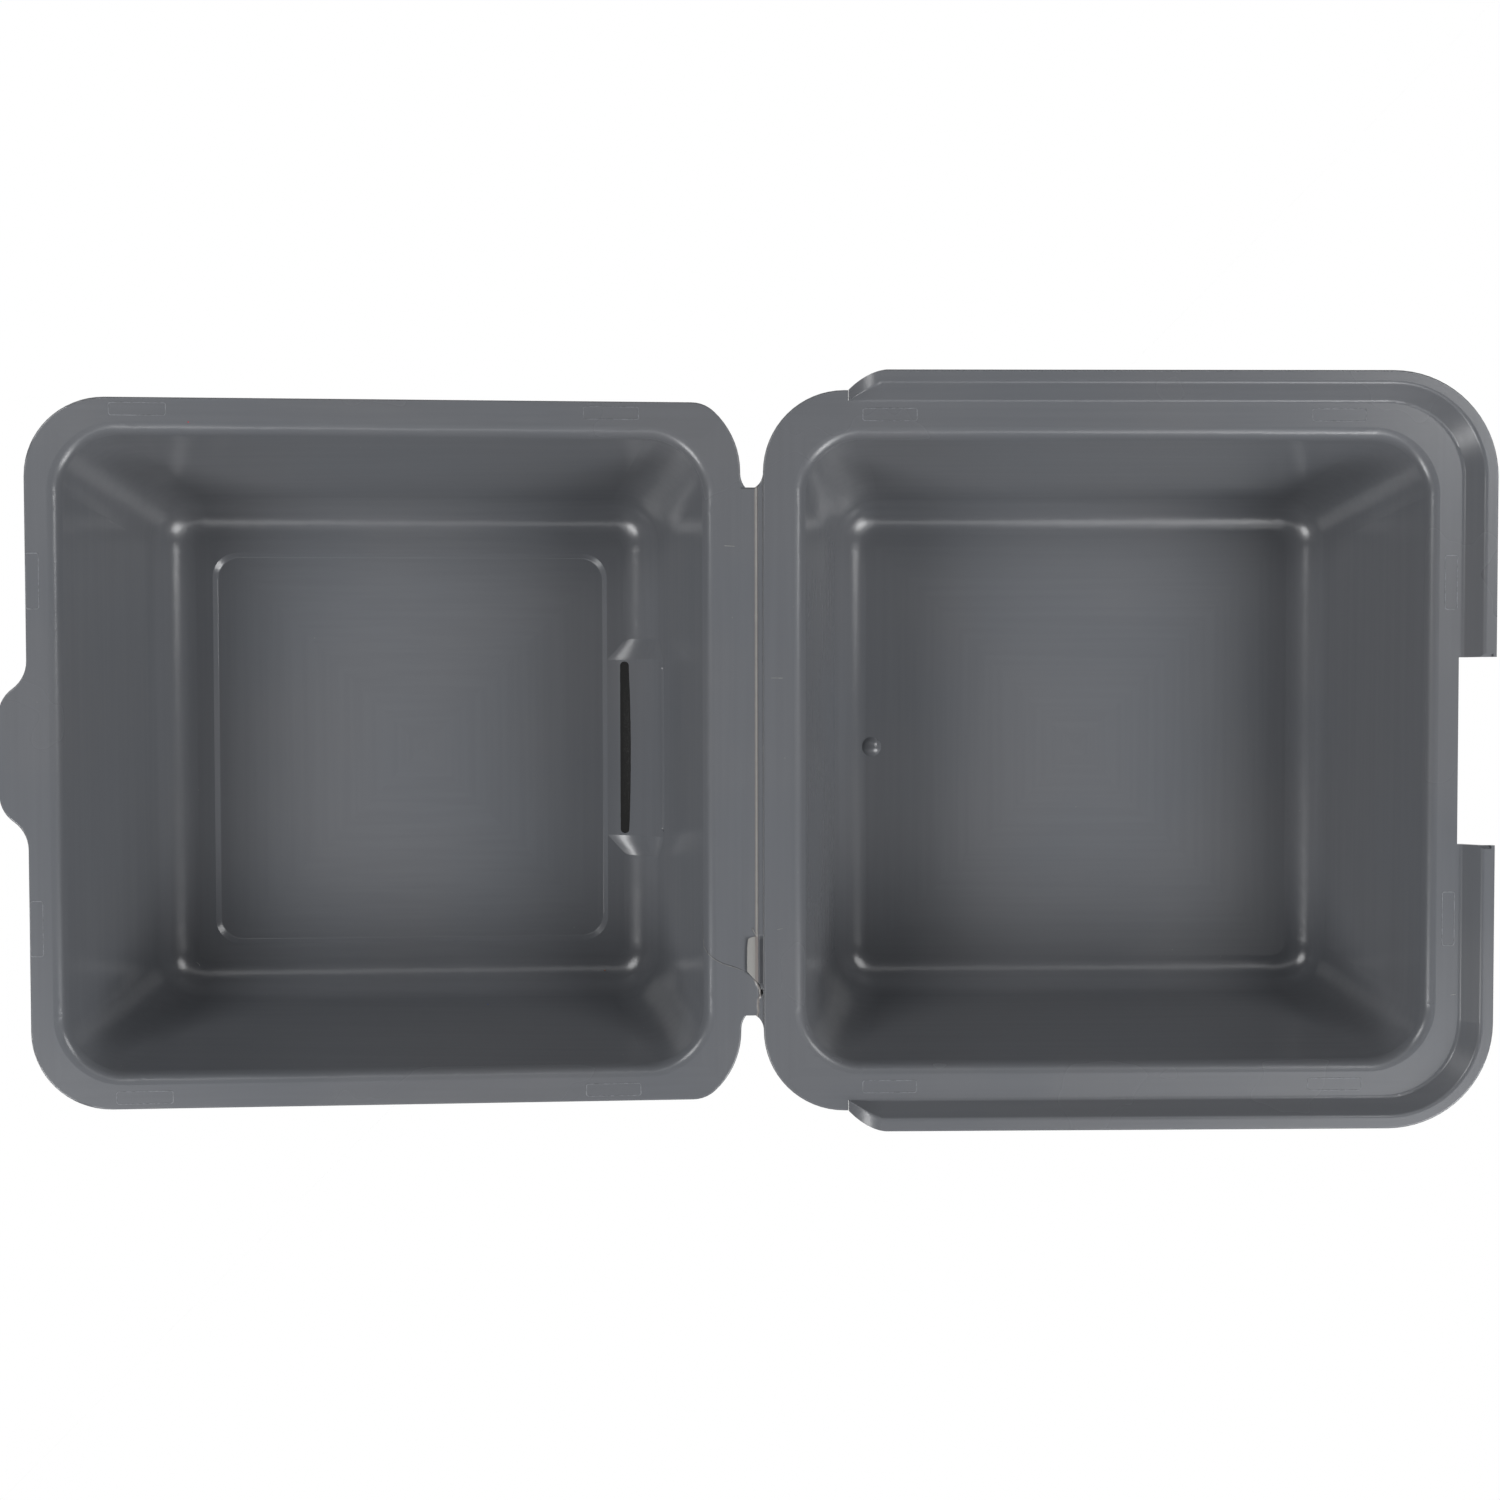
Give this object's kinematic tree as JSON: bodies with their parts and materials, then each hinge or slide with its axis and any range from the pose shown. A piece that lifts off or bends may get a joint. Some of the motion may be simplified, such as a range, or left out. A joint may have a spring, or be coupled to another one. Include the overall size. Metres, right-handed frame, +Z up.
{
  "type": "hinged burger box",
  "caption": "Square grey moulded plastic clamshell burger box, open, with a deep base tray, a deep vented lid, a raised rim lip, a finger tab and a living hinge.",
  "frame": {"origin": "on the table under the middle of the hinge line, which is the middle of the open box", "axes": "+X from the hinge towards the base's front, +Y along the hinge, +Z up"},
  "size_m": [0.2728, 0.1398, 0.0465],
  "materials": {
    "grey_plastic": "satin moulded polypropylene",
    "hinge_film": "thin satin film, paler along the crease"
  },
  "bodies": {
    "base_half": {"base_tray": "grey_plastic", "living_hinge": "hinge_film"},
    "lid_half": {"lid": "grey_plastic"}
  },
  "joints": [
    {"name": "lid_hinge", "type": "hinge", "parent": "base_half", "child": "lid_half", "pos_m": [0, 0, 0.03965], "axis": [0, 1, 0], "range_deg": [0, 177], "deforming": ["living_hinge"]}
  ]
}
